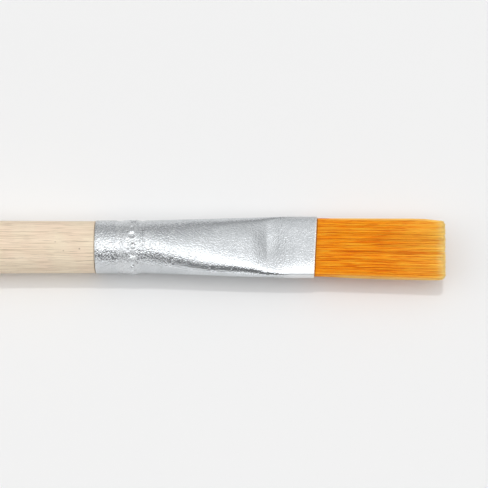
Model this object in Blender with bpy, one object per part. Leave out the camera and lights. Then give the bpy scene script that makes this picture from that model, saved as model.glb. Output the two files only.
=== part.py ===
"""Flat paint brush: a turned wooden handle, an aluminium ferrule pressed flat, and a nylon tuft set in epoxy.

Metres, +Z up. The brush lies along X with its tip at +X and its flat sides up and down. Its axis is level, the
handle's belly touches z = 0, and x = 0 is half way along the brush.
"""

import math
import random

import bmesh
import bpy

for leftover in list(bpy.data.objects):
    bpy.data.objects.remove(leftover)

# Handle
HANDLE_LENGTH = 0.150  # from the butt to the shoulder
NECK_DIAMETER = 0.0110  # at the shoulder
BELLY_DIAMETER = 0.0118
BELLY_FROM_SHOULDER = 0.066
BUTT_DIAMETER = 0.0070
BUTT_ROUNDING = 0.0012
TENON_LENGTH = 0.0160  # inside the ferrule
TENON_CHAMFER = 0.0010
HANDLE_SIDES = 32
NECK_STEPS = 8
TAPER_STEPS = 8
BUTT_STEPS = 4

# Ferrule
FERRULE_LENGTH = 0.0464
FERRULE_DIAMETER = 0.0113
FERRULE_WALL = 0.0003
MOUTH_WIDTH = 0.0133  # over the wall, which leaves half an inch inside
MOUTH_THICKNESS = 0.0032
ROUND_LENGTH = 0.0111  # from the handle end to where the wall starts to flatten
FLAT_LENGTH = 0.0114  # from the mouth back to where the wall is flat
CONE_ROUNDING = 0.0030  # length over which each end of the cone is rounded off
CONE_STEPS = 8

# Crimp in the ferrule that grips the tenon: two rolled grooves with a ring of punched dimples between them
FIRST_GROOVE_FROM_END = 0.0051
FIRST_GROOVE_WIDTH = 0.0020
SECOND_GROOVE_FROM_END = 0.0099
SECOND_GROOVE_WIDTH = 0.0013
GROOVE_DEPTH = 0.0002
DIMPLES_FROM_END = 0.0079
DIMPLE_DIAMETER = 0.0013
DIMPLE_DEPTH = 0.0002
DIMPLE_COUNT = 20
SIDES_PER_DIMPLE = 3

# Tuft
BRISTLE_LENGTH = 0.0273  # from the mouth to the tip
TIP_WIDTH = 0.0132
TIP_THICKNESS = 0.0018
TIP_CORNER_DROP = 0.0007  # how much sooner the tuft ends at its corners
LENGTH_SCATTER = 0.0004
SIDE_SCATTER = 0.00002
STRAND_COLUMNS = 44
STRAND_ROWS = 9
STRAND_GAP = 0.00005  # between neighbours at the roots
STRAND_TAPER = 0.55  # thickness at the tip over thickness at the root
ROOT_INSET = 0.0005  # from the mouth back to the bonded roots
ROOT_LENGTH = 0.0050
ROOT_END_TRIM = 0.00015  # left empty at each half-round end

# Epoxy behind the roots
PLUG_LENGTH = 0.0080
PLUG_STEPS = 4

# Clearances between pieces that touch
FIT_GAP = 0.0001  # round the pieces inside the ferrule
SEAT_GAP = 0.0003  # end to end

BODY_LENGTH = HANDLE_LENGTH - BUTT_ROUNDING
CONE_LENGTH = FERRULE_LENGTH - ROUND_LENGTH - FLAT_LENGTH
FERRULE_SIDES = DIMPLE_COUNT * SIDES_PER_DIMPLE
OVERALL_LENGTH = HANDLE_LENGTH + SEAT_GAP + FERRULE_LENGTH + BRISTLE_LENGTH
GROOVES = ((FIRST_GROOVE_FROM_END, FIRST_GROOVE_WIDTH), (SECOND_GROOVE_FROM_END, SECOND_GROOVE_WIDTH))
ACROSS = (-1.0, -0.5, 0.0, 0.5, 1.0)  # places across a groove or dimple, from edge to edge
SHARP_ANGLE = math.radians(40.0)

# All pieces hang on the brush's axis, whose x is counted from the ferrule's handle end.
axis = bpy.data.objects.new("brush_axis", None)
axis.location = (HANDLE_LENGTH + SEAT_GAP - OVERALL_LENGTH / 2.0, 0.0, BELLY_DIAMETER / 2.0)
bpy.context.scene.collection.objects.link(axis)


def between(start, end, share):
    return start + (end - start) * share


def unit_ring(sides):
    """A polygon round a circle of radius 1, with one of its flats straight down."""
    step = 2.0 * math.pi / sides
    reach = 1.0 / math.cos(step / 2.0)
    turns = [step * (side + 0.5) for side in range(sides)]
    return [(reach * math.cos(turn), reach * math.sin(turn)) for turn in turns]


def loft(rings, capped):
    """A skin through rings of equally many points, closed at both ends where it is capped."""
    mesh = bmesh.new()
    loops = []
    for ring in rings:
        points = [mesh.verts.new(point) for point in ring]
        loops.append([mesh.edges.new((points[side - 1], points[side])) for side in range(len(points))])
    for loop, following in zip(loops, loops[1:]):
        bmesh.ops.bridge_loops(mesh, edges=loop + following)
    if capped:
        bmesh.ops.edgeloop_fill(mesh, edges=loops[0])
        bmesh.ops.edgeloop_fill(mesh, edges=loops[-1])
    return mesh


def add_piece(name, mesh, x, colour, metallic, roughness):
    """One named object on the brush's axis, with a material of its own."""
    bmesh.ops.recalc_face_normals(mesh, faces=mesh.faces)
    data = bpy.data.meshes.new(name)
    mesh.to_mesh(data)
    mesh.free()
    data.shade_smooth()
    data.set_sharp_from_angle(angle=SHARP_ANGLE)
    material = bpy.data.materials.new(name)
    material.use_nodes = True
    surface = material.node_tree.nodes["Principled BSDF"].inputs
    surface["Base Color"].default_value = (*colour, 1.0)
    surface["Metallic"].default_value = metallic
    surface["Roughness"].default_value = roughness
    data.materials.append(material)
    piece = bpy.data.objects.new(name, data)
    piece.parent = axis
    piece.location.x = x
    bpy.context.scene.collection.objects.link(piece)
    return piece


def flatness(x):
    """0 where the ferrule is round, 1 where it is flat, and a straight rise with rounded ends between."""
    share = min(max((x - ROUND_LENGTH) / CONE_LENGTH, 0.0), 1.0)
    soft = CONE_ROUNDING / CONE_LENGTH
    to_end = min(share, 1.0 - share)
    if to_end < soft:
        rise = to_end * to_end / (2.0 * soft * (1.0 - soft))
    else:
        rise = (to_end - soft / 2.0) / (1.0 - soft)
    return rise if share < 0.5 else 1.0 - rise


def ferrule_half_sizes(x):
    """Half the ferrule's width and half its thickness, over the wall."""
    half_width = between(FERRULE_DIAMETER, MOUTH_WIDTH, flatness(x)) / 2.0
    half_thickness = between(FERRULE_DIAMETER, MOUTH_THICKNESS, flatness(x)) / 2.0
    return half_width, half_thickness


def groove_depth(x, spread):
    """How far the rolled grooves press in. Spread widens them, as they are inside the wall."""
    depth = 0.0
    for middle, width in GROOVES:
        off = abs(x - middle) / (width / 2.0 + spread)
        if off < 1.0:
            depth += GROOVE_DEPTH * (1.0 + math.cos(math.pi * off)) / 2.0
    return depth


def dimple_depth(x, arc, spread):
    """How far a dimple presses in, at this distance round the ferrule from the dimple's middle."""
    off = math.hypot(x - DIMPLES_FROM_END, arc) / (DIMPLE_DIAMETER / 2.0 + spread)
    return DIMPLE_DEPTH * max(0.0, 1.0 - off * off)


def crimp_places(spread):
    """Places along the axis that the grooves and dimples need."""
    marks = [*GROOVES, (DIMPLES_FROM_END, DIMPLE_DIAMETER)]
    return [middle + (width / 2.0 + spread) * share for middle, width in marks for share in ACROSS]


def body_radius(back):
    """The handle's turned outline, at this distance back from its shoulder."""
    belly = BELLY_DIAMETER / 2.0
    if back < BELLY_FROM_SHOULDER:
        share = (1.0 - math.cos(math.pi * back / BELLY_FROM_SHOULDER)) / 2.0
        return between(NECK_DIAMETER / 2.0, belly, share)
    share = (back - BELLY_FROM_SHOULDER) / (BODY_LENGTH - BELLY_FROM_SHOULDER)
    return between(belly, BUTT_DIAMETER / 2.0, share * share)


def tenon_radius(x):
    """What fits inside the ferrule's wall and its crimp."""
    crimp = groove_depth(x, FERRULE_WALL) + dimple_depth(x, 0.0, FERRULE_WALL)
    return ferrule_half_sizes(x)[1] - FERRULE_WALL - crimp - FIT_GAP


def handle_mesh():
    """Rounded butt, body with its belly, shoulder and tenon."""
    outline = []
    for step in range(BUTT_STEPS):
        turn = math.pi / 2.0 * step / BUTT_STEPS
        back = HANDLE_LENGTH - BUTT_ROUNDING * (1.0 - math.cos(turn))
        outline.append((-SEAT_GAP - back, BUTT_DIAMETER / 2.0 - BUTT_ROUNDING * (1.0 - math.sin(turn))))
    backs = [between(BODY_LENGTH, BELLY_FROM_SHOULDER, step / TAPER_STEPS) for step in range(TAPER_STEPS)]
    backs += [between(BELLY_FROM_SHOULDER, 0.0, step / NECK_STEPS) for step in range(NECK_STEPS + 1)]
    outline += [(-SEAT_GAP - back, body_radius(back)) for back in backs]
    places = [-SEAT_GAP, ROUND_LENGTH, TENON_LENGTH - TENON_CHAMFER, *crimp_places(FERRULE_WALL)]
    outline += [(x, tenon_radius(x)) for x in sorted(places)]
    outline.append((TENON_LENGTH, tenon_radius(TENON_LENGTH) - TENON_CHAMFER))
    circle = unit_ring(HANDLE_SIDES)
    return loft([[(x, radius * y, radius * z) for y, z in circle] for x, radius in outline], capped=True)


def flattened_ring(x, inset, dimpled):
    """The ferrule's section, moved in by an inset: two half rounds joined by straight runs."""
    half_width, half_thickness = ferrule_half_sizes(x)
    straight = half_width - half_thickness
    ring = []
    for side, (y, z) in enumerate(unit_ring(FERRULE_SIDES)):
        radius = half_thickness - inset
        if dimpled:
            sides_off = side % SIDES_PER_DIMPLE - SIDES_PER_DIMPLE // 2
            radius -= dimple_depth(x, sides_off * math.pi * FERRULE_DIAMETER / FERRULE_SIDES, 0.0)
        ring.append((x, radius * y + math.copysign(straight, y), radius * z))
    return ring


def ferrule_mesh():
    """The ferrule's outer skin. A Solidify modifier gives it its wall."""
    places = [0.0, FERRULE_LENGTH, *crimp_places(0.0)]
    places += [ROUND_LENGTH + CONE_LENGTH * step / CONE_STEPS for step in range(CONE_STEPS + 1)]
    rings = [flattened_ring(x, groove_depth(x, 0.0), dimpled=True) for x in sorted(places)]
    return loft(rings, capped=False)


def plug_mesh():
    """Set epoxy that fills the ferrule behind the bonded roots."""
    front = FERRULE_LENGTH - ROOT_INSET - ROOT_LENGTH - SEAT_GAP
    places = [front - PLUG_LENGTH * step / PLUG_STEPS for step in range(PLUG_STEPS + 1)]
    rings = [flattened_ring(x, FERRULE_WALL + FIT_GAP, dimpled=False) for x in places]
    return loft(rings, capped=True)


def tuft_mesh():
    """Tapering strands that grow from a block of bonded roots, x counted from the ferrule's mouth."""
    mesh = bmesh.new()
    half_width = MOUTH_WIDTH / 2.0 - FERRULE_WALL - FIT_GAP
    half_thickness = MOUTH_THICKNESS / 2.0 - FERRULE_WALL - FIT_GAP
    root_half_width = half_width - ROOT_END_TRIM
    bmesh.ops.create_grid(mesh, x_segments=STRAND_COLUMNS, y_segments=STRAND_ROWS, size=1.0)
    for vertex in mesh.verts:
        y = vertex.co.x * root_half_width
        past_straight = max(0.0, abs(y) - (half_width - half_thickness))
        z = vertex.co.y * math.sqrt(half_thickness ** 2 - past_straight ** 2)
        vertex.co = (-ROOT_INSET, y, z)
    cells = list(mesh.faces)

    rim = [edge for edge in mesh.edges if edge.is_boundary]
    extruded = bmesh.ops.extrude_edge_only(mesh, edges=rim)["geom"]
    back = [part for part in extruded if isinstance(part, bmesh.types.BMVert)]
    bmesh.ops.translate(mesh, verts=back, vec=(-ROOT_LENGTH, 0.0, 0.0))
    bmesh.ops.edgeloop_fill(mesh, edges=[edge for edge in mesh.edges if edge.is_boundary])

    scatter = random.Random(7)
    bmesh.ops.inset_individual(mesh, faces=cells, thickness=STRAND_GAP / 2.0, use_even_offset=True)
    for tip in bmesh.ops.extrude_discrete_faces(mesh, faces=cells)["faces"]:
        root = tip.calc_center_median()
        side = root.y / root_half_width
        tip_x = BRISTLE_LENGTH - TIP_CORNER_DROP * side ** 4 - LENGTH_SCATTER * scatter.random()
        tip_y = side * TIP_WIDTH / 2.0 + SIDE_SCATTER * scatter.uniform(-1.0, 1.0)
        tip_z = root.z / half_thickness * TIP_THICKNESS / 2.0 + SIDE_SCATTER * scatter.uniform(-1.0, 1.0)
        for vertex in tip.verts:
            off = (vertex.co - root) * STRAND_TAPER
            vertex.co = (tip_x, tip_y + off.y, tip_z + off.z)
    return mesh


add_piece("handle", handle_mesh(), 0.0, (0.76, 0.62, 0.45), 0.0, 0.6)

ferrule = add_piece("ferrule", ferrule_mesh(), 0.0, (0.80, 0.81, 0.82), 1.0, 0.3)
wall = ferrule.modifiers.new("wall", "SOLIDIFY")
wall.thickness = FERRULE_WALL
wall.offset = -1.0
wall.use_even_offset = True

add_piece("epoxy_plug", plug_mesh(), 0.0, (0.75, 0.62, 0.35), 0.0, 0.2)
add_piece("bristle_tuft", tuft_mesh(), FERRULE_LENGTH, (0.78, 0.24, 0.02), 0.0, 0.35)
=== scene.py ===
import math
import random

import bpy
import numpy as np
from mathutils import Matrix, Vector, noise


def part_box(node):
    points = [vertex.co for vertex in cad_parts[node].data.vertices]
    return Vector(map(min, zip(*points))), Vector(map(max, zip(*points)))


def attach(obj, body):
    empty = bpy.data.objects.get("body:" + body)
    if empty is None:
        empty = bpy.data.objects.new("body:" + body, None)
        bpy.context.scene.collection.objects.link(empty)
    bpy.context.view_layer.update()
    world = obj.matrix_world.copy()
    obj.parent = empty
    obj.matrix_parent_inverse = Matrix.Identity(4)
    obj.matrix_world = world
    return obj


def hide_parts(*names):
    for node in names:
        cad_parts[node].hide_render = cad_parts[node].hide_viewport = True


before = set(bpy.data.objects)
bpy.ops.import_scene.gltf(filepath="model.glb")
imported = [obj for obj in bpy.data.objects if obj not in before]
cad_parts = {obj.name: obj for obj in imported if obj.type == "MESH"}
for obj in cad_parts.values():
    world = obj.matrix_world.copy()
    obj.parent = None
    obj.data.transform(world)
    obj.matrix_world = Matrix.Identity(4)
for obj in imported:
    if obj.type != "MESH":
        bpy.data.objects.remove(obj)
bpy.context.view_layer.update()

# Ferrule: a tube drawn from thin aluminium, round where it grips the handle and pressed flat towards
# its mouth, where it holds the tuft. The press leaves its faces a little full and dented. Two rolled
# grooves and a ring of punched dimples between them fix it on the handle.
ferrule_low, ferrule_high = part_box("ferrule")
HANDLE_END = ferrule_low.x
MOUTH = ferrule_high.x
FERRULE_LENGTH = MOUTH - HANDLE_END
AXIS_HEIGHT = (ferrule_low.z + ferrule_high.z) / 2
ROUND_RADIUS = (ferrule_high.z - ferrule_low.z) / 2
MOUTH_HALF_WIDTH = ferrule_high.y
MOUTH_HALF_THICKNESS = 0.0016
MOUTH_EDGE_RADIUS = 0.00048
EDGE_TIGHTENS = (0.0330, 0.0405)
WALL = 0.0003
ROUND_LENGTH = 0.0111
FLAT_LENGTH = 0.0114
CONE_LENGTH = FERRULE_LENGTH - ROUND_LENGTH - FLAT_LENGTH
CONE_START_ROUNDING = 0.03
CONE_FULLNESS = 1.30
CONE_SOFTNESS = 0.05
MOUTH_SOFTNESS = 0.015
MOUTH_SLANT = 0.060
# How far the cone's section is a lens and not a slab with round edges, the shares of flatness between
# which the lens gives way to the slab, and how far the flat's rims fall.
LENS_SHARE = 0.80
LENS_GIVES_WAY = (0.5, 1.0)
RIM_FALL = 0.34

# The rolled grooves: middle from the handle end, and width.
GROOVES = ((0.0051, 0.0024), (0.0099, 0.0014))
GROOVE_DEPTH = 0.00018
DIMPLE_COUNT = 17
DIMPLES_FROM_END = 0.0079
DIMPLE_RADIUS = 0.00076
DIMPLE_FLOOR = 0.45
DIMPLE_DEPTH = 0.00018
# The rim that each punch throws up: its height, and its place, width and reach in dimple radii.
DIMPLE_RIM = 0.00009
DIMPLE_RIM_PLACE = 1.15
DIMPLE_RIM_WIDTH = 0.3
DIMPLE_REACH = 3
# How far the punches stray along the tube and round it, and how hard they hit.
PUNCH_STRAY_ALONG = 0.00018
PUNCH_STRAY_ROUND = 0.10
PUNCH_FORCE = (0.75, 1.1)

# Where the press stopped the cone stays full, with a dent past it: distance from the handle end and
# across, lengths before and after, widths to either side, and depth, which is negative for the fullness.
UPPER_DENTS = (
    (0.0326, 0.0012, 0.0059, 0.0020, 0.0090, 0.0030, -0.00045),
    (0.0365, -0.0006, 0.0012, 0.0032, 0.0047, 0.0090, 0.00039),
)
LOWER_DENTS = (
    (0.0325, -0.0008, 0.0055, 0.0022, 0.0060, 0.0060, -0.00025),
    (0.0363, 0.0005, 0.0014, 0.0030, 0.0060, 0.0060, 0.00022),
)
RIPPLE_HEIGHT = 0.000022
RIPPLE_LENGTH = 0.0032
RIPPLES_ON_ROUND = 0.3

RING_POINTS = 256
CRIMP_STEP = 0.00012
CONE_STEP = 0.0004
INNER_STEP = 0.0008
LIP_STEPS = 6

ALUMINIUM = (0.825, 0.850, 0.872, 1.0)
DULL_ALUMINIUM = (0.640, 0.668, 0.690, 1.0)
BRIGHT_ALUMINIUM = (0.920, 0.940, 0.955, 1.0)
CUT_EDGE = (0.98, 0.97, 0.94, 1.0)
CUT_EDGE_WIDTH = 0.00045
# Roughness from the bright places to the tarnished ones, and how much the finest grain dulls the metal.
POLISH = (0.10, 0.17)
FINE_DULLNESS = 0.9
# Cells of noise to a metre.
CLOUD_CELLS = 420.0
MOTTLE_CELLS = 2200.0
PIT_CELLS = 3200.0
FINE_CELLS = 4200.0
# The mottle and the pits fade towards the mouth: between which shares of the way from it to the handle
# end, and to how much.
MOTTLE_HEIGHT = 0.000085
MOTTLE_FADES = (0.25, 1.0)
MOTTLE_AT_MOUTH = 0.15
PIT_DEPTH = 0.000038
PITS_FADE = (0.35, 0.75)
PITS_AT_MOUTH = 0.06
FINE_HEIGHT = 0.000044
DRAWN_LINE_LENGTH = 0.006
DRAWN_LINE_WIDTH = 0.00014
DRAWN_LINE_HEIGHT = 0.000006
# The round part, which the press leaves alone, is a little brighter: between which of those shares.
ROUND_BRIGHTENS = (0.70, 0.78)
ROUND_BRIGHTNESS = 0.10
# The ring that the rollers and punches leave matt: its start and end from the handle end, and its fade.
MATT_RING = (0.0042, 0.0086)
MATT_RING_FADE = 0.0010
MATT_RING_ROUGHNESS = 0.13
MATT_RING_BRIGHTNESS = 0.30
# The rims that the press leaves matt and bright near the mouth: how far off the axis they start, their
# fade, and between which of those shares they come in.
MATT_RIM_START = 0.0059
MATT_RIM_FADE = 0.0003
MATT_RIM_COMES_IN = (0.18, 0.10)
MATT_RIM_ROUGHNESS = 0.28


def between(start, end, share):
    """The value at this share of the way from start to end."""
    return start + (end - start) * share


def ease(value, start, end):
    """0 before start, 1 after end and a smooth rise between them."""
    share = min(max((value - start) / (end - start), 0.0), 1.0)
    return share * share * (3 - 2 * share)


def flatness(x):
    """0 where the ferrule is round, 1 where it is flat, and a rise between, steepest near its start."""
    share = min(max((x - ROUND_LENGTH) / CONE_LENGTH, 0.0), 1.0)
    rise = share * share * (1 + CONE_START_ROUNDING) / (share + CONE_START_ROUNDING)
    return 1 - max(1 - rise, 0.0) ** CONE_FULLNESS


def pressed_section(x):
    """The ferrule's section as complex numbers, y + z i, from the middle of its upper face towards +Y."""
    flat = flatness(x)
    half_width = between(ROUND_RADIUS, MOUTH_HALF_WIDTH, flat)
    half_thickness = between(ROUND_RADIUS, MOUTH_HALF_THICKNESS, flat)
    tight = ease(x, *EDGE_TIGHTENS)
    edge_radius = between(half_thickness, MOUTH_EDGE_RADIUS, tight)
    run = half_width - edge_radius
    drop = half_thickness - edge_radius
    bend = math.pi / 2 * edge_radius
    corners = np.cumsum([0, run, bend, 2 * drop, bend, 2 * run, bend, 2 * drop, bend, run])
    place = np.arange(RING_POINTS) / RING_POINTS * corners[-1]
    quarters = np.array([0, 0, 1, 1, 2, 2, 3, 3, 4, 4]) * math.pi / 2
    turn = np.interp(place, corners, quarters)
    slide = np.interp(place, corners, [0, run, run, run, run, -run, -run, -run, -run, 0])
    climb = np.interp(place, corners, [drop, drop, drop, -drop, -drop, -drop, -drop, drop, drop, drop])
    section = slide + edge_radius * np.sin(turn) + 1j * (climb + edge_radius * np.cos(turn))
    waves = np.fft.fft(section)
    order = np.fft.fftfreq(RING_POINTS, 1 / RING_POINTS)
    section = np.fft.ifft(waves * np.exp(-(between(CONE_SOFTNESS, MOUTH_SOFTNESS, tight) * order) ** 2))
    y = section.real * half_width / section.real.max()
    z = section.imag * half_thickness / section.imag.max()
    pressed = ease(flat, *LENS_GIVES_WAY)
    lens_z = np.sign(z) * half_thickness * np.sqrt(np.clip(1 - (y / half_width) ** 2, 0, 1))
    z = between(z, lens_z, LENS_SHARE * (1 - pressed))
    return y + 1j * z * (1 - RIM_FALL * pressed * (y / half_width) ** 4)


def groove_depth(x):
    """How far the two rolled grooves press in."""
    depth = 0.0
    for middle, width in GROOVES:
        off = abs(x - middle) / (width / 2)
        if off < 1:
            depth += GROOVE_DEPTH * (1 + math.cos(math.pi * off)) / 2
    return depth


punch = random.Random(4)
dimples = []
for count in range(DIMPLE_COUNT):
    dimples.append((
        DIMPLES_FROM_END + punch.uniform(-PUNCH_STRAY_ALONG, PUNCH_STRAY_ALONG),
        2 * math.pi * (count + punch.uniform(-PUNCH_STRAY_ROUND, PUNCH_STRAY_ROUND)) / DIMPLE_COUNT,
        DIMPLE_DEPTH * punch.uniform(*PUNCH_FORCE),
    ))


def dimple_depths(x, section):
    """How far the punched dimples press in, with the low rim that each punch throws up."""
    depths = np.zeros(RING_POINTS)
    if abs(x - DIMPLES_FROM_END) > DIMPLE_REACH * DIMPLE_RADIUS:
        return depths
    angles = np.angle(section)
    for middle, angle, depth in dimples:
        arc = ROUND_RADIUS * np.angle(np.exp(1j * (angles - angle)))
        off = np.hypot(x - middle, arc) / DIMPLE_RADIUS
        wall = np.clip((1 - off) / (1 - DIMPLE_FLOOR), 0, 1)
        depths += depth * wall * wall * (3 - 2 * wall)
        depths -= DIMPLE_RIM * np.exp(-((off - DIMPLE_RIM_PLACE) / DIMPLE_RIM_WIDTH) ** 2)
    return depths


def press_depths(x, section, outward):
    """How far the press dents the flattened faces."""
    facing = outward.imag
    depths = np.zeros(RING_POINTS)
    for dents, side in ((UPPER_DENTS, 1), (LOWER_DENTS, -1)):
        on_face = np.clip(side * facing, 0, 1) ** 2
        for middle, y, before, after, near, far, depth in dents:
            off_along = (x - middle) / (before if x < middle else after)
            off_across = (section.real - y) / np.where(section.real < y, near, far)
            depths += on_face * depth * np.exp(-off_along ** 2 - off_across ** 2)
    return depths


def ripples(x, section):
    """Low, soft unevenness of the thin wall."""
    pressed = between(RIPPLES_ON_ROUND, 1.0, flatness(x))
    points = [Vector((x, point.real, point.imag)) / RIPPLE_LENGTH for point in section]
    return RIPPLE_HEIGHT * pressed * np.array([noise.noise(point) for point in points])


def ferrule_ring(x, inset, detailed):
    """One ring of the wall. Its inner side has the dents but no crimp, as the tenon inside is plain."""
    section = pressed_section(x)
    outward = 1j * (np.roll(section, -1) - np.roll(section, 1))
    outward /= np.abs(outward)
    depths = inset + press_depths(x, section, outward)
    if detailed:
        depths += groove_depth(x) + dimple_depths(x, section) + ripples(x, section)
    section = section - outward * depths
    slant = MOUTH_SLANT * ease(x, FERRULE_LENGTH - FLAT_LENGTH, FERRULE_LENGTH)
    return [(HANDLE_END + x + slant * p.real, p.real, AXIS_HEIGHT + p.imag) for p in section]


def lip_turns():
    """Angles of the half turn that rounds the wall's edge, without its two ends."""
    return [math.pi * step / LIP_STEPS for step in range(1, LIP_STEPS)]


def closed_skin(rings, joined):
    """Quads between rings of equally many points. The end rings are joined to each other or capped."""
    size = len(rings[0])
    last = (len(rings) - 1) * size
    faces = []
    for ring in range(len(rings) if joined else len(rings) - 1):
        following = (ring + 1) % len(rings)
        for point in range(size):
            nearby = (point + 1) % size
            faces.append((
                ring * size + point,
                following * size + point,
                following * size + nearby,
                ring * size + nearby,
            ))
    if not joined:
        faces.append(tuple(range(size)))
        faces.append(tuple(last + point for point in reversed(range(size))))
    return faces


def add_piece(name, points, faces, material):
    """A smooth-shaded mesh object with one material, placed by its points alone."""
    data = bpy.data.meshes.new(name)
    data.from_pydata(points, [], faces)
    data.validate()
    data.shade_smooth()
    data.materials.append(material)
    piece = bpy.data.objects.new(name, data)
    bpy.context.scene.collection.objects.link(piece)
    return piece


def add_node(tree, kind, **inputs):
    """A node with its inputs, by name or as i and a number. A socket is linked, and set_ is for settings."""
    node = tree.nodes.new(kind)
    for name, value in inputs.items():
        if name.startswith("set_"):
            setattr(node, name[4:], value)
    for name, value in inputs.items():
        if name.startswith("set_"):
            continue
        key = int(name[1:]) if name[0] == "i" and name[1:].isdigit() else name.replace("_", " ")
        socket = node.inputs[key]
        if isinstance(value, bpy.types.NodeSocket):
            tree.links.new(value, socket)
        else:
            socket.default_value = value
    return node


def new_surface(name):
    """A material, its node tree, its Principled BSDF and the object's own position."""
    material = bpy.data.materials.new(name)
    material.use_nodes = True
    tree = material.node_tree
    surface = tree.nodes["Principled BSDF"]
    position = add_node(tree, "ShaderNodeTexCoord").outputs["Object"]
    return material, tree, surface, position


# Streaks that run along the brush: drawing marks in the metal, grain in the wood, tone in the nylon,
# where they also paint glints and shade between clumps.
streaks = bpy.data.node_groups.new("streaks along the brush", "ShaderNodeTree")
streaks.interface.new_socket("Position", in_out="INPUT", socket_type="NodeSocketVector")
streaks.interface.new_socket("Length", in_out="INPUT", socket_type="NodeSocketFloat")
streaks.interface.new_socket("Width", in_out="INPUT", socket_type="NodeSocketFloat")
streaks.interface.new_socket("Seed", in_out="INPUT", socket_type="NodeSocketFloat")
streaks.interface.new_socket("Streak", in_out="OUTPUT", socket_type="NodeSocketFloat")
given = add_node(streaks, "NodeGroupInput").outputs
per_length = add_node(streaks, "ShaderNodeMath", set_operation="DIVIDE", i0=1.0, i1=given["Length"])
per_width = add_node(streaks, "ShaderNodeMath", set_operation="DIVIDE", i0=1.0, i1=given["Width"])
stretch = add_node(
    streaks,
    "ShaderNodeCombineXYZ",
    X=per_length.outputs[0],
    Y=per_width.outputs[0],
    Z=per_width.outputs[0],
)
stretched = add_node(
    streaks,
    "ShaderNodeVectorMath",
    set_operation="MULTIPLY",
    i0=given["Position"],
    i1=stretch.outputs[0],
)
streak = add_node(
    streaks,
    "ShaderNodeTexNoise",
    set_noise_dimensions="4D",
    Vector=stretched.outputs[0],
    W=given["Seed"],
    Scale=1.0,
    Detail=3.0,
    Roughness=0.55,
)
add_node(streaks, "NodeGroupOutput", Streak=streak.outputs["Fac"])


def add_streaks(tree, position, length, width, seed):
    """The streaks group placed in a material, with its own sizes."""
    return add_node(
        tree,
        "ShaderNodeGroup",
        set_node_tree=streaks,
        Position=position,
        Length=length,
        Width=width,
        Seed=seed,
    ).outputs["Streak"]


def add_noise(tree, position, cells, detail, roughness=0.5):
    """Noise that is alike in all directions, with this many cells to a metre."""
    return add_node(
        tree,
        "ShaderNodeTexNoise",
        Vector=position,
        Scale=cells,
        Detail=detail,
        Roughness=roughness,
    ).outputs["Fac"]


def spread(tree, value, low, high, to_low=0.0, to_high=1.0):
    """A value stretched from one range to another, and held at its ends."""
    return add_node(
        tree,
        "ShaderNodeMapRange",
        Value=value,
        From_Min=low,
        From_Max=high,
        To_Min=to_low,
        To_Max=to_high,
    ).outputs["Result"]


def multiply(tree, first, second, plus=0.0):
    """The product of two values, plus a third."""
    return add_node(
        tree,
        "ShaderNodeMath",
        set_operation="MULTIPLY_ADD",
        i0=first,
        i1=second,
        i2=plus,
    ).outputs[0]


def mix_colours(tree, share, first, second):
    """A mix of two colours by a share that varies over the surface."""
    return add_node(
        tree,
        "ShaderNodeMix",
        set_data_type="RGBA",
        i0=share,
        i6=first,
        i7=second,
    ).outputs[2]


def along_from_mouth(tree, position, start, end):
    """1 at start and 0 at end, where both are distances past the slanted mouth."""
    along = add_node(
        tree,
        "ShaderNodeVectorMath",
        set_operation="DOT_PRODUCT",
        i0=position,
        i1=(1.0, -MOUTH_SLANT, 0.0),
    ).outputs["Value"]
    return spread(tree, along, MOUTH + start, MOUTH + end, 1.0, 0.0)


aluminium, tree, surface, position = new_surface("drawn aluminium")
cloud = add_noise(tree, position, CLOUD_CELLS, detail=3.0, roughness=0.6)
mottle = add_noise(tree, position, MOTTLE_CELLS, detail=1.0, roughness=0.6)
pitting = add_noise(tree, position, PIT_CELLS, detail=0.5)
fine = add_noise(tree, position, FINE_CELLS, detail=0.0)
drawn = add_streaks(tree, position, DRAWN_LINE_LENGTH, DRAWN_LINE_WIDTH, seed=1.0)
to_handle = along_from_mouth(tree, position, -FERRULE_LENGTH, 0.0)

parts = add_node(tree, "ShaderNodeSeparateXYZ", Vector=position).outputs
sideways = add_node(tree, "ShaderNodeMath", set_operation="ABSOLUTE", i0=parts["Y"]).outputs[0]
matt_rim = multiply(
    tree,
    spread(tree, sideways, MATT_RIM_START, MATT_RIM_START + MATT_RIM_FADE),
    spread(tree, to_handle, *MATT_RIM_COMES_IN),
)
ring_start, ring_end = (HANDLE_END + place for place in MATT_RING)
matt_ring = multiply(
    tree,
    spread(tree, parts["X"], ring_start, ring_start + MATT_RING_FADE),
    spread(tree, parts["X"], ring_end, ring_end + MATT_RING_FADE, 1.0, 0.0),
)

round_brightness = spread(tree, to_handle, *ROUND_BRIGHTENS, 0.0, ROUND_BRIGHTNESS)
brightness = multiply(tree, matt_ring, MATT_RING_BRIGHTNESS, round_brightness)
dullness = spread(tree, fine, 0.35, 0.65, 0.0, FINE_DULLNESS)
cut_edge = along_from_mouth(tree, position, -WALL / 2, -CUT_EDGE_WIDTH)
colour = mix_colours(tree, spread(tree, cloud, 0.30, 0.75), ALUMINIUM, DULL_ALUMINIUM)
colour = mix_colours(tree, dullness, colour, DULL_ALUMINIUM)
colour = mix_colours(tree, brightness, colour, BRIGHT_ALUMINIUM)
colour = mix_colours(tree, matt_rim, colour, BRIGHT_ALUMINIUM)
colour = mix_colours(tree, cut_edge, colour, CUT_EDGE)
tree.links.new(colour, surface.inputs["Base Color"])

roughness = spread(tree, cloud, 0.3, 0.7, *POLISH)
roughness = multiply(tree, matt_ring, MATT_RING_ROUGHNESS, roughness)
roughness = multiply(tree, matt_rim, MATT_RIM_ROUGHNESS, roughness)
tree.links.new(roughness, surface.inputs["Roughness"])
surface.inputs["Metallic"].default_value = 1.0

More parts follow.
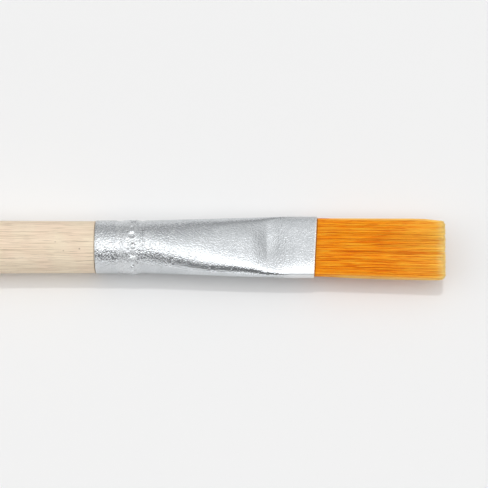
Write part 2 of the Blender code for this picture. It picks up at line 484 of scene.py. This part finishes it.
mottle_left = spread(tree, to_handle, *MOTTLE_FADES, MOTTLE_AT_MOUTH, 1.0)
pits_left = spread(tree, to_handle, *PITS_FADE, PITS_AT_MOUTH, 1.0)
reliefs = (
    (multiply(tree, mottle, mottle_left), MOTTLE_HEIGHT),
    (fine, FINE_HEIGHT),
    (multiply(tree, spread(tree, pitting, 0.48, 0.64, 1.0, 0.0), pits_left), PIT_DEPTH),
)
relief = add_node(tree, "ShaderNodeBump", Strength=1.0, Distance=DRAWN_LINE_HEIGHT, Height=drawn)
for height, distance in reliefs:
    relief = add_node(
        tree,
        "ShaderNodeBump",
        Strength=1.0,
        Distance=distance,
        Height=height,
        Normal=relief.outputs[0],
    )
tree.links.new(relief.outputs[0], surface.inputs["Normal"])

edge = WALL / 2
crimp_places = np.arange(edge, ROUND_LENGTH, CRIMP_STEP)
cone_places = np.linspace(ROUND_LENGTH, FERRULE_LENGTH - edge, round(FERRULE_LENGTH / CONE_STEP))
inner_places = np.linspace(FERRULE_LENGTH - edge, edge, round(FERRULE_LENGTH / INNER_STEP))
ferrule_rings = [ferrule_ring(x, 0.0, True) for x in [*crimp_places, *cone_places]]
for turn in lip_turns():
    x = FERRULE_LENGTH - edge + edge * math.sin(turn)
    ferrule_rings.append(ferrule_ring(x, edge - edge * math.cos(turn), False))
ferrule_rings += [ferrule_ring(x, WALL, False) for x in inner_places]
for turn in lip_turns():
    x = edge - edge * math.sin(turn)
    ferrule_rings.append(ferrule_ring(x, edge + edge * math.cos(turn), False))
ferrule_points = [point for ring in ferrule_rings for point in ring]
ferrule = add_piece("ferrule_shell", ferrule_points, closed_skin(ferrule_rings, True), aluminium)
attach(ferrule, "root")
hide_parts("ferrule")

# Tuft: a few thousand drawn nylon filaments, each tapering to a fine tip. They lie side by side in the
# flat mouth, where their roots are bonded, and they fan out a little to one side towards their tips.
tuft_low, tuft_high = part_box("bristle_tuft")
ROOT = tuft_low.x
TIP = tuft_high.x
BRISTLE_LENGTH = TIP - MOUTH
TUFT_CLEARANCE = 0.00008
TUFT_HALF_WIDTH = MOUTH_HALF_WIDTH - WALL - TUFT_CLEARANCE
TUFT_HALF_THICKNESS = MOUTH_HALF_THICKNESS - WALL - TUFT_CLEARANCE
TUFT_EDGE_RADIUS = MOUTH_EDGE_RADIUS - WALL
TIP_HALF_THICKNESS = 0.0009
FILAMENT_RADIUS = 0.000074
FILAMENT_PITCH = 0.000148
FILAMENT_SIDES = 6
FILAMENT_STEPS = 10
TAPER_LENGTH = 0.0008
TIP_TAPER = 0.60
FAN_TO_NEAR_SIDE = 0.00095
LENGTH_SCATTER = 0.0008
LENGTH_GAINED = 0.0002
CLUMP_WIDTH = 0.0006
CLUMP_THICKNESS = 0.0004
CLUMP_SHIFT = 0.00004
STRAY = 0.00006
TIP_SLANT = 0.030
# The worn corners, on the far side (+Y) and the near side: the share of the half width where they start,
# and the length lost. The far one also curls in, from this share of the length on.
FAR_CORNER = 0.72
FAR_CORNER_LOSS = 0.0003
FAR_CORNER_CURL = 0.0005
CURL_FROM = 0.8
NEAR_CORNER = 0.86
NEAR_CORNER_LOSS = 0.0006

ORANGE = (1.0, 0.335, 0.005, 1.0)
DEEP_ORANGE = (0.74, 0.155, 0.003, 1.0)
BRIGHT_ORANGE = (1.0, 0.51, 0.035, 1.0)
GOLDEN_TIP = (1.0, 0.63, 0.10, 1.0)
PALE_TIP = (1.0, 0.80, 0.32, 1.0)
# Darker roots just past the mouth: partly epoxy wicked up between them, partly painted shade under the lip.
PAINTED_ROOT_SHADE = (0.36, 0.10, 0.004, 1.0)
PAINTED_ROOT_SHADE_LENGTH = 0.0003
# The gold comes in slowly along the bristles, by shares of their length, and then fast at their tips.
GOLD_FROM = 0.55
GOLD_RUN = 0.37
SLOW_GOLD = 0.45
FAST_GOLD = 0.55
FAST_GOLD_FROM = 0.88
# The tips' paleness is partly their own lighter ends and partly painted light shining through the thin
# nylon.
PALE_TIP_LENGTH = 0.0010
TIP_PALENESS_AND_GLOW = 0.8
# The outermost filaments turn golden soon after the mouth, but on the near side not the topmost ones.
EDGE_FILAMENTS = (0.90, 0.97)
EDGE_UNDER_TOP = (-0.8, -0.1)
EDGE_BARED = 0.2
EDGE_GOLD = (0.6, 1.0)
EDGE_PALENESS = 0.45
# Length and width of the streaks of tone, which in the threads also paint glints and shade between clumps.
WISP = (0.008, 0.00060)
WISP_STRENGTH = 0.05
THREAD = (0.0060, 0.00015)
# Bright threads are partly the filaments' tone and partly painted glints; dark threads are partly tone and
# partly painted shade in the gaps between clumps, with less of it on the gold.
BRIGHT_THREAD_AND_GLINT_STRENGTH = 0.9
DARK_THREADS_AND_GAP_SHADE_ON_GOLD = 0.4

scatter = random.Random(11)


def filament_roots():
    """A close packing of filaments in the mouth's flattened section."""
    roots = []
    row_pitch = FILAMENT_PITCH * math.sqrt(3) / 2
    rows = int(TUFT_HALF_THICKNESS / row_pitch)
    columns = int(TUFT_HALF_WIDTH / FILAMENT_PITCH)
    run = TUFT_HALF_WIDTH - TUFT_EDGE_RADIUS
    drop = TUFT_HALF_THICKNESS - TUFT_EDGE_RADIUS
    for row in range(-rows, rows + 1):
        for column in range(-columns, columns + 1):
            y = (column + (row % 2) / 2) * FILAMENT_PITCH
            z = row * row_pitch
            past_run = max(0.0, abs(y) - run)
            past_drop = max(0.0, abs(z) - drop)
            if math.hypot(past_run, past_drop) < TUFT_EDGE_RADIUS:
                roots.append((y, z * (1 - RIM_FALL * (y / TUFT_HALF_WIDTH) ** 4)))
    return roots


def filament_line(y, z):
    """Points along one filament, closest at its tip, each with its radius and how golden and pale it is."""
    side = y / TUFT_HALF_WIDTH
    far_corner = ease(side, FAR_CORNER, 1.0)
    near_corner = ease(-side, NEAR_CORNER, 1.0)
    length_lost = LENGTH_SCATTER * scatter.random() - LENGTH_GAINED
    length_lost += FAR_CORNER_LOSS * far_corner ** 2
    length_lost += NEAR_CORNER_LOSS * near_corner ** 2
    tip_x = TIP + TIP_SLANT * y - length_lost
    clump = noise.noise(Vector((y / CLUMP_WIDTH, z / CLUMP_THICKNESS, 0.0)))
    bow = scatter.gauss(0, STRAY)
    drift = scatter.gauss(0, STRAY)
    lift = scatter.gauss(0, STRAY / 2)
    edge_gold = scatter.uniform(*EDGE_GOLD)
    outermost = ease(abs(side), *EDGE_FILAMENTS)
    if side < 0:
        outermost *= ease(-z / TUFT_HALF_THICKNESS, *EDGE_UNDER_TOP)
    line = []
    for step in range(FILAMENT_STEPS):
        to_tip = (1 - step / (FILAMENT_STEPS - 1)) ** 2
        x = between(tip_x, ROOT, to_tip)
        out = min(max((x - MOUTH) / BRISTLE_LENGTH, 0.0), 1.0)
        radius = FILAMENT_RADIUS * between(TIP_TAPER, 1.0, ease(tip_x - x, 0.0, TAPER_LENGTH))
        bared = ease(out, 0.0, EDGE_BARED)
        golden = SLOW_GOLD * min(max((out - GOLD_FROM) / GOLD_RUN, 0.0), 1.0)
        golden += FAST_GOLD * ease(out, FAST_GOLD_FROM, 1.0)
        golden = max(golden, edge_gold * bared * outermost)
        # Paler towards the tip: partly the filament's own colour, partly painted light through the thin
        # nylon.
        pale = TIP_PALENESS_AND_GLOW * (1 - (tip_x - x) / PALE_TIP_LENGTH)
        pale = max(pale, EDGE_PALENESS * bared * outermost)
        fan = -FAN_TO_NEAR_SIDE * (1 - side) / 2 * out
        curl = -FAR_CORNER_CURL * far_corner * ease(out, CURL_FROM, 1.0)
        sway = CLUMP_SHIFT * clump * out ** 2 + bow * math.sin(math.pi * out) + drift * out
        thinner = between(1.0, TIP_HALF_THICKNESS / TUFT_HALF_THICKNESS, out)
        line.append((x, y + fan + curl + sway, z * thinner + lift * out, radius, golden, pale))
    return line


filament_points = []
filament_faces = []
tones = []
goldens = []
pales = []
for root_y, root_z in filament_roots():
    tone = scatter.random()
    twist = scatter.uniform(0, 2 * math.pi)
    first = len(filament_points)
    line = filament_line(root_y, root_z)
    for x, y, z, radius, golden, pale in line:
        for side in range(FILAMENT_SIDES):
            angle = twist + 2 * math.pi * side / FILAMENT_SIDES
            filament_points.append((
                x,
                y + radius * math.cos(angle),
                AXIS_HEIGHT + z + radius * math.sin(angle),
            ))
            tones.append(tone)
            goldens.append(golden)
            pales.append(pale)
    for step in range(FILAMENT_STEPS - 1):
        for side in range(FILAMENT_SIDES):
            nearby = (side + 1) % FILAMENT_SIDES
            here = first + step * FILAMENT_SIDES
            there = here + FILAMENT_SIDES
            filament_faces.append((here + side, here + nearby, there + nearby, there + side))
    last = first + (FILAMENT_STEPS - 1) * FILAMENT_SIDES
    filament_faces.append(tuple(first + side for side in reversed(range(FILAMENT_SIDES))))
    filament_faces.append(tuple(last + side for side in range(FILAMENT_SIDES)))

nylon, tree, surface, position = new_surface("orange nylon")
tone = add_node(tree, "ShaderNodeAttribute", set_attribute_name="tone").outputs["Fac"]
golden = add_node(tree, "ShaderNodeAttribute", set_attribute_name="golden").outputs["Fac"]
golden = multiply(tree, golden, spread(tree, tone, 0.0, 1.0, 0.5, 1.5))
pale = add_node(tree, "ShaderNodeAttribute", set_attribute_name="pale").outputs["Fac"]
wisps = add_streaks(tree, position, *WISP, seed=5.0)
threads = add_streaks(tree, position, *THREAD, seed=7.0)
# Painted glints and painted shade between clumps, mixed with the filaments' own tone.
bright_threads_and_glints = spread(tree, threads, 0.45, 0.39, 0.0, BRIGHT_THREAD_AND_GLINT_STRENGTH)
dark_threads_and_gap_shade = multiply(
    tree,
    spread(tree, threads, 0.54, 0.59),
    spread(tree, golden, 0.0, 1.0, 1.0, DARK_THREADS_AND_GAP_SHADE_ON_GOLD),
)
# Painted shade under the lip, with some epoxy darkening, just past the mouth.
painted_root_shade = along_from_mouth(tree, position, 0.0, PAINTED_ROOT_SHADE_LENGTH)
colour = mix_colours(tree, spread(tree, tone, 0.0, 0.5, 0.4, 1.0), DEEP_ORANGE, ORANGE)
colour = mix_colours(tree, spread(tree, tone, 0.6, 1.0, 0.0, 0.6), colour, BRIGHT_ORANGE)
colour = mix_colours(tree, spread(tree, wisps, 0.50, 0.7, 0.0, WISP_STRENGTH), colour, DEEP_ORANGE)
colour = mix_colours(tree, golden, colour, GOLDEN_TIP)
colour = mix_colours(tree, bright_threads_and_glints, colour, BRIGHT_ORANGE)
colour = mix_colours(tree, dark_threads_and_gap_shade, colour, DEEP_ORANGE)
# Pale tips and edges; at the tips partly painted light through the thin nylon.
colour = mix_colours(tree, pale, colour, PALE_TIP)
colour = mix_colours(tree, painted_root_shade, colour, PAINTED_ROOT_SHADE)
tree.links.new(colour, surface.inputs["Base Color"])
surface.inputs["Roughness"].default_value = 0.38
surface.inputs["IOR"].default_value = 1.53
surface.inputs["Specular IOR Level"].default_value = 0.12

tuft = add_piece("filaments", filament_points, filament_faces, nylon)
tuft.data.attributes.new("tone", "FLOAT", "POINT").data.foreach_set("value", tones)
tuft.data.attributes.new("golden", "FLOAT", "POINT").data.foreach_set("value", goldens)
tuft.data.attributes.new("pale", "FLOAT", "POINT").data.foreach_set("value", pales)
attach(tuft, "root")
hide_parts("bristle_tuft")

# Epoxy plug: amber resin poured into the ferrule behind the roots, where it sets and locks them in.
# It is cast in place, so it has the ferrule's own inner shape and is hidden in the finished brush.
plug_low, plug_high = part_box("epoxy_plug")
PLUG_GAP = 0.00002
PLUG_STEPS = 16

AMBER = (0.70, 0.50, 0.20, 1.0)
PALE_AMBER = (0.80, 0.68, 0.42, 1.0)
SWIRL_CELLS = 500.0

epoxy, tree, surface, position = new_surface("set epoxy")
swirl = add_noise(tree, position, SWIRL_CELLS, detail=3.0)
colour = mix_colours(tree, spread(tree, swirl, 0.3, 0.7), AMBER, PALE_AMBER)
tree.links.new(colour, surface.inputs["Base Color"])
surface.inputs["Roughness"].default_value = 0.2

plug_places = np.linspace(plug_low.x - HANDLE_END, plug_high.x - HANDLE_END, PLUG_STEPS)
plug_rings = [ferrule_ring(x, WALL + PLUG_GAP, False) for x in plug_places]
plug_points = [point for ring in plug_rings for point in ring]
plug = add_piece("cast_plug", plug_points, closed_skin(plug_rings, False), epoxy)
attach(plug, "root")
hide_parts("epoxy_plug")

# Handle: a stick of pale wood turned on a lathe, sanded and left bare. Its tenon is pressed into the
# ferrule, and the body swells gently to a belly and then tapers to a small rounded butt.
handle_low, handle_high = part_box("handle")
BUTT = handle_low.x
TENON_END = handle_high.x
SHOULDER_GAP = 0.0001
SHOULDER = HANDLE_END - SHOULDER_GAP
NECK_RADIUS = 0.0055
BELLY_RADIUS = (handle_high.z - handle_low.z) / 2
BELLY_FROM_SHOULDER = 0.066
BUTT_RADIUS = 0.0035
BUTT_ROUNDING = 0.0012
SHOULDER_ROUNDING = 0.00015
TENON_GAP = 0.0001
TENON_RADIUS = ROUND_RADIUS - WALL - GROOVE_DEPTH - TENON_GAP
TENON_CHAMFER = 0.0010
SANDING_DEPTH = 0.00003
SANDING_LENGTH = 0.012

HANDLE_POINTS = 128
HANDLE_RINGS = 160
BUTT_STEPS = 8
SHOULDER_STEPS = 4
TENON_STEPS = 12

PALE_WOOD = (0.910, 0.778, 0.595, 1.0)
WARM_WOOD = (0.910, 0.737, 0.570, 1.0)
DARK_GRAIN = (0.62, 0.475, 0.325, 1.0)
PORE = (0.36, 0.26, 0.17, 1.0)
# Length and width of the streaks of grain, and how strongly they show.
BROAD_GRAIN = (0.030, 0.0014)
BROAD_STRENGTH = 0.15
FINE_GRAIN = (0.016, 0.00020)
FINE_STRENGTH = 0.45
FIBRE = (0.008, 0.00015)
FIBRE_STRENGTH = 0.60
FIBRE_HEIGHT = 0.00002
PORE_STREAK = (0.0045, 0.00013)
PORE_STRENGTH = 0.6
FLUSH_CELLS = 170.0
# Small dark specks: cells to a metre, the shares of a cell between which they fade, and their strength.
SPECK_CELLS = 260.0
SPECK_SIZE = (0.03, 0.06)
SPECK_STRENGTH = 0.7


def body_radius(back):
    """The turned body's radius at this distance back from the shoulder."""
    body_length = SHOULDER - BUTT - BUTT_ROUNDING
    if back < BELLY_FROM_SHOULDER:
        share = (1 - math.cos(math.pi * back / BELLY_FROM_SHOULDER)) / 2
        return between(NECK_RADIUS, BELLY_RADIUS, share)
    share = (back - BELLY_FROM_SHOULDER) / (body_length - BELLY_FROM_SHOULDER)
    return between(BELLY_RADIUS, BUTT_RADIUS, share * share)


outline = [(BUTT, (BUTT_RADIUS - BUTT_ROUNDING) / 2)]
for step in range(BUTT_STEPS + 1):
    turn = math.pi / 2 * step / BUTT_STEPS
    x = BUTT + BUTT_ROUNDING * (1 - math.cos(turn))
    outline.append((x, BUTT_RADIUS - BUTT_ROUNDING * (1 - math.sin(turn))))
for step in range(1, HANDLE_RINGS + 1):
    x = between(BUTT + BUTT_ROUNDING, SHOULDER - SHOULDER_ROUNDING, step / HANDLE_RINGS)
    outline.append((x, body_radius(SHOULDER - x)))
for step in range(1, SHOULDER_STEPS + 1):
    turn = math.pi / 2 * step / SHOULDER_STEPS
    x = SHOULDER - SHOULDER_ROUNDING * (1 - math.sin(turn))
    outline.append((x, NECK_RADIUS - SHOULDER_ROUNDING * (1 - math.cos(turn))))
outline.append((SHOULDER, TENON_RADIUS))
for step in range(TENON_STEPS + 1):
    x = between(HANDLE_END + ROUND_LENGTH, TENON_END - TENON_CHAMFER, step / TENON_STEPS)
    inside_cone = pressed_section(x - HANDLE_END).imag.max() - WALL - TENON_GAP
    tenon_radius = min(TENON_RADIUS, inside_cone)
    outline.append((x, tenon_radius))
outline.append((TENON_END, tenon_radius - TENON_CHAMFER))

handle_rings = []
for x, radius in outline:
    ring = []
    for point in range(HANDLE_POINTS):
        angle = 2 * math.pi * point / HANDLE_POINTS
        y = math.cos(angle)
        z = math.sin(angle)
        hollow = SANDING_DEPTH * noise.noise(Vector((x / SANDING_LENGTH, y, z)))
        reach = radius - abs(hollow) if radius > BUTT_ROUNDING else radius
        ring.append((x, -reach * y, AXIS_HEIGHT + reach * z))
    handle_rings.append(ring)
handle_points = [point for ring in handle_rings for point in ring]

wood, tree, surface, position = new_surface("bare wood")
broad = add_streaks(tree, position, *BROAD_GRAIN, seed=2.0)
grain = add_streaks(tree, position, *FINE_GRAIN, seed=3.0)
fibre = add_streaks(tree, position, *FIBRE, seed=4.0)
pores = add_streaks(tree, position, *PORE_STREAK, seed=6.0)
flush = add_noise(tree, position, FLUSH_CELLS, detail=2.0)
from_speck = add_node(tree, "ShaderNodeTexVoronoi", Vector=position, Scale=SPECK_CELLS).outputs["Distance"]
specks = spread(tree, from_speck, *SPECK_SIZE, SPECK_STRENGTH, 0.0)
colour = mix_colours(tree, spread(tree, flush, 0.40, 0.60), PALE_WOOD, WARM_WOOD)
colour = mix_colours(tree, spread(tree, broad, 0.45, 0.75, 0.0, BROAD_STRENGTH), colour, DARK_GRAIN)
colour = mix_colours(tree, spread(tree, grain, 0.50, 0.64, 0.0, FINE_STRENGTH), colour, DARK_GRAIN)
colour = mix_colours(tree, spread(tree, fibre, 0.50, 0.62, 0.0, FIBRE_STRENGTH), colour, DARK_GRAIN)
colour = mix_colours(tree, spread(tree, pores, 0.57, 0.66, 0.0, PORE_STRENGTH), colour, PORE)
colour = mix_colours(tree, specks, colour, PORE)
tree.links.new(colour, surface.inputs["Base Color"])
surface.inputs["Roughness"].default_value = 0.62
relief = add_node(tree, "ShaderNodeBump", Strength=0.4, Distance=FIBRE_HEIGHT, Height=fibre)
tree.links.new(relief.outputs[0], surface.inputs["Normal"])

handle = add_piece("turned_handle", handle_points, closed_skin(handle_rings, False), wood)
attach(handle, "root")
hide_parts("handle")

# Floor: a plain pale sheet that the brush lies on, wide enough to reach the horizon in a low view. What
# the ferrule mirrors of it is a little darker, to give the metal's sides the grey of the photograph.
FLOOR_COLOUR = (0.87, 0.87, 0.87, 1.0)
MIRRORED_FLOOR_COLOUR = (0.78, 0.78, 0.78, 1.0)
FLOOR_HALF_SIZE = 6.0

paper, tree, surface, _ = new_surface("pale floor")
mirrored = add_node(tree, "ShaderNodeLightPath").outputs["Is Glossy Ray"]
colour = mix_colours(tree, mirrored, FLOOR_COLOUR, MIRRORED_FLOOR_COLOUR)
tree.links.new(colour, surface.inputs["Base Color"])
surface.inputs["Roughness"].default_value = 1.0
surface.inputs["Specular IOR Level"].default_value = 0.0
corners = [(-1, -1), (1, -1), (1, 1), (-1, 1)]
floor_points = [(FLOOR_HALF_SIZE * x, FLOOR_HALF_SIZE * y, 0.0) for x, y in corners]
floor = add_piece("floor", floor_points, [(0, 1, 2, 3)], paper)

# Light: a small sun from the far side, and a studio dome. Overhead the dome has a soft box with a dark
# screen on its near side, and it is dimmer past both ends of the soft box. The metal mirrors this dome,
# with the soft box a little brighter, and the camera sees a plain backdrop in its place.
SUN_SHARE = 0.17
SUN_LEAN = math.radians(14)
SUN_ANGLE = math.radians(3)
# How much brighter the soft box shows in metal, and between which levels the dome counts as soft box.
SOFT_BOX_SHINE = 0.2
SOFT_BOX_LEVELS = (1.4, 1.5)
# What shows behind the floor in a low view.
BACKDROP = (0.89, 0.89, 0.89, 1.0)
# Levels across the brush, by angle from overhead towards the far side.
DOME_ACROSS = (
    (-90, 1.45),
    (-82, 1.20),
    (-75, 0.24),
    (-41, 0.18),
    (-35, 1.54),
    (3, 1.54),
    (14, 0.98),
    (30, 0.86),
    (45, 0.68),
    (60, 0.50),
    (90, 0.38),
)
# Shares of those levels along the brush, by angle from overhead towards the tuft.
DOME_ALONG = (
    (-40, 1.10),
    (-30, 0.60),
    (-16, 0.58),
    (-8, 1.07),
    (0, 1.02),
    (10, 0.95),
    (26, 0.93),
    (36, 0.62),
    (42, 0.62),
    (56, 1.12),
)

sun_data = bpy.data.lights.new("sun", "SUN")
sun_data.energy = SUN_SHARE * math.pi / math.cos(SUN_LEAN)
sun_data.angle = SUN_ANGLE
sun = bpy.data.objects.new("sun", sun_data)
sun.rotation_euler = (-SUN_LEAN, 0.0, 0.0)
sun.visible_glossy = False
bpy.context.scene.collection.objects.link(sun)

dome = bpy.data.worlds.new("studio dome")
dome.use_nodes = True
bpy.context.scene.world = dome
tree = dome.node_tree
direction = add_node(tree, "ShaderNodeTexCoord").outputs["Generated"]
parts = add_node(tree, "ShaderNodeSeparateXYZ", Vector=direction).outputs
across = add_node(tree, "ShaderNodeMath", set_operation="ARCTAN2", i0=parts["Y"], i1=parts["Z"]).outputs[0]
along = add_node(tree, "ShaderNodeMath", set_operation="ARCSINE", i0=parts["X"]).outputs[0]


def dome_level(tree, angle, levels):
    """The dome's level at an angle between -90 and 90 degrees."""
    ramp = add_node(tree, "ShaderNodeValToRGB", Fac=spread(tree, angle, -math.pi / 2, math.pi / 2))
    stops = ramp.color_ramp.elements
    while len(stops) < len(levels):
        stops.new(0.5)
    for stop, (degrees, level) in zip(stops, levels):
        stop.position = (degrees + 90) / 180
        stop.color = (level, level, level, 1.0)
    return ramp.outputs["Color"]


rays = add_node(tree, "ShaderNodeLightPath").outputs
level_across = dome_level(tree, across, DOME_ACROSS)
level = multiply(tree, level_across, dome_level(tree, along, DOME_ALONG))
soft_box = spread(tree, level_across, *SOFT_BOX_LEVELS, 0.0, SOFT_BOX_SHINE)
shine = multiply(tree, soft_box, rays["Is Glossy Ray"])
level = multiply(tree, level, shine, level)
level = mix_colours(tree, rays["Is Camera Ray"], level, BACKDROP)
tree.links.new(level, tree.nodes["Background"].inputs["Color"])
tree.nodes["Background"].inputs["Strength"].default_value = 1.0

# Camera: nearly overhead, leaning by the angle off its face at which the photograph shows the ferrule's
# flat. Its scale comes from the width of that flat as it is seen, in metres and in pixels.
PIXELS = 488
FLAT_SEEN_WIDTH = 0.0127
FLAT_SEEN_PIXELS = 60
PIXEL_SIZE = FLAT_SEEN_WIDTH / FLAT_SEEN_PIXELS
CAMERA_DISTANCE = 0.41
CAMERA_LEAN = math.radians(20)
FERRULE_END_PIXEL = 96.3
AXIS_PIXEL = 247.3

camera_data = bpy.data.cameras.new("camera")
camera_data.angle = 2 * math.atan(PIXELS * PIXEL_SIZE / 2 / CAMERA_DISTANCE)
camera = bpy.data.objects.new("camera", camera_data)
aim = Vector((
    HANDLE_END + (PIXELS / 2 - FERRULE_END_PIXEL) * PIXEL_SIZE,
    (AXIS_PIXEL - PIXELS / 2) * PIXEL_SIZE,
    AXIS_HEIGHT,
))
camera.location = aim + CAMERA_DISTANCE * Vector((0.0, -math.sin(CAMERA_LEAN), math.cos(CAMERA_LEAN)))
camera.rotation_euler = (CAMERA_LEAN, 0.0, 0.0)
bpy.context.scene.collection.objects.link(camera)
bpy.context.scene.camera = camera

bpy.context.scene.view_settings.view_transform = "Standard"
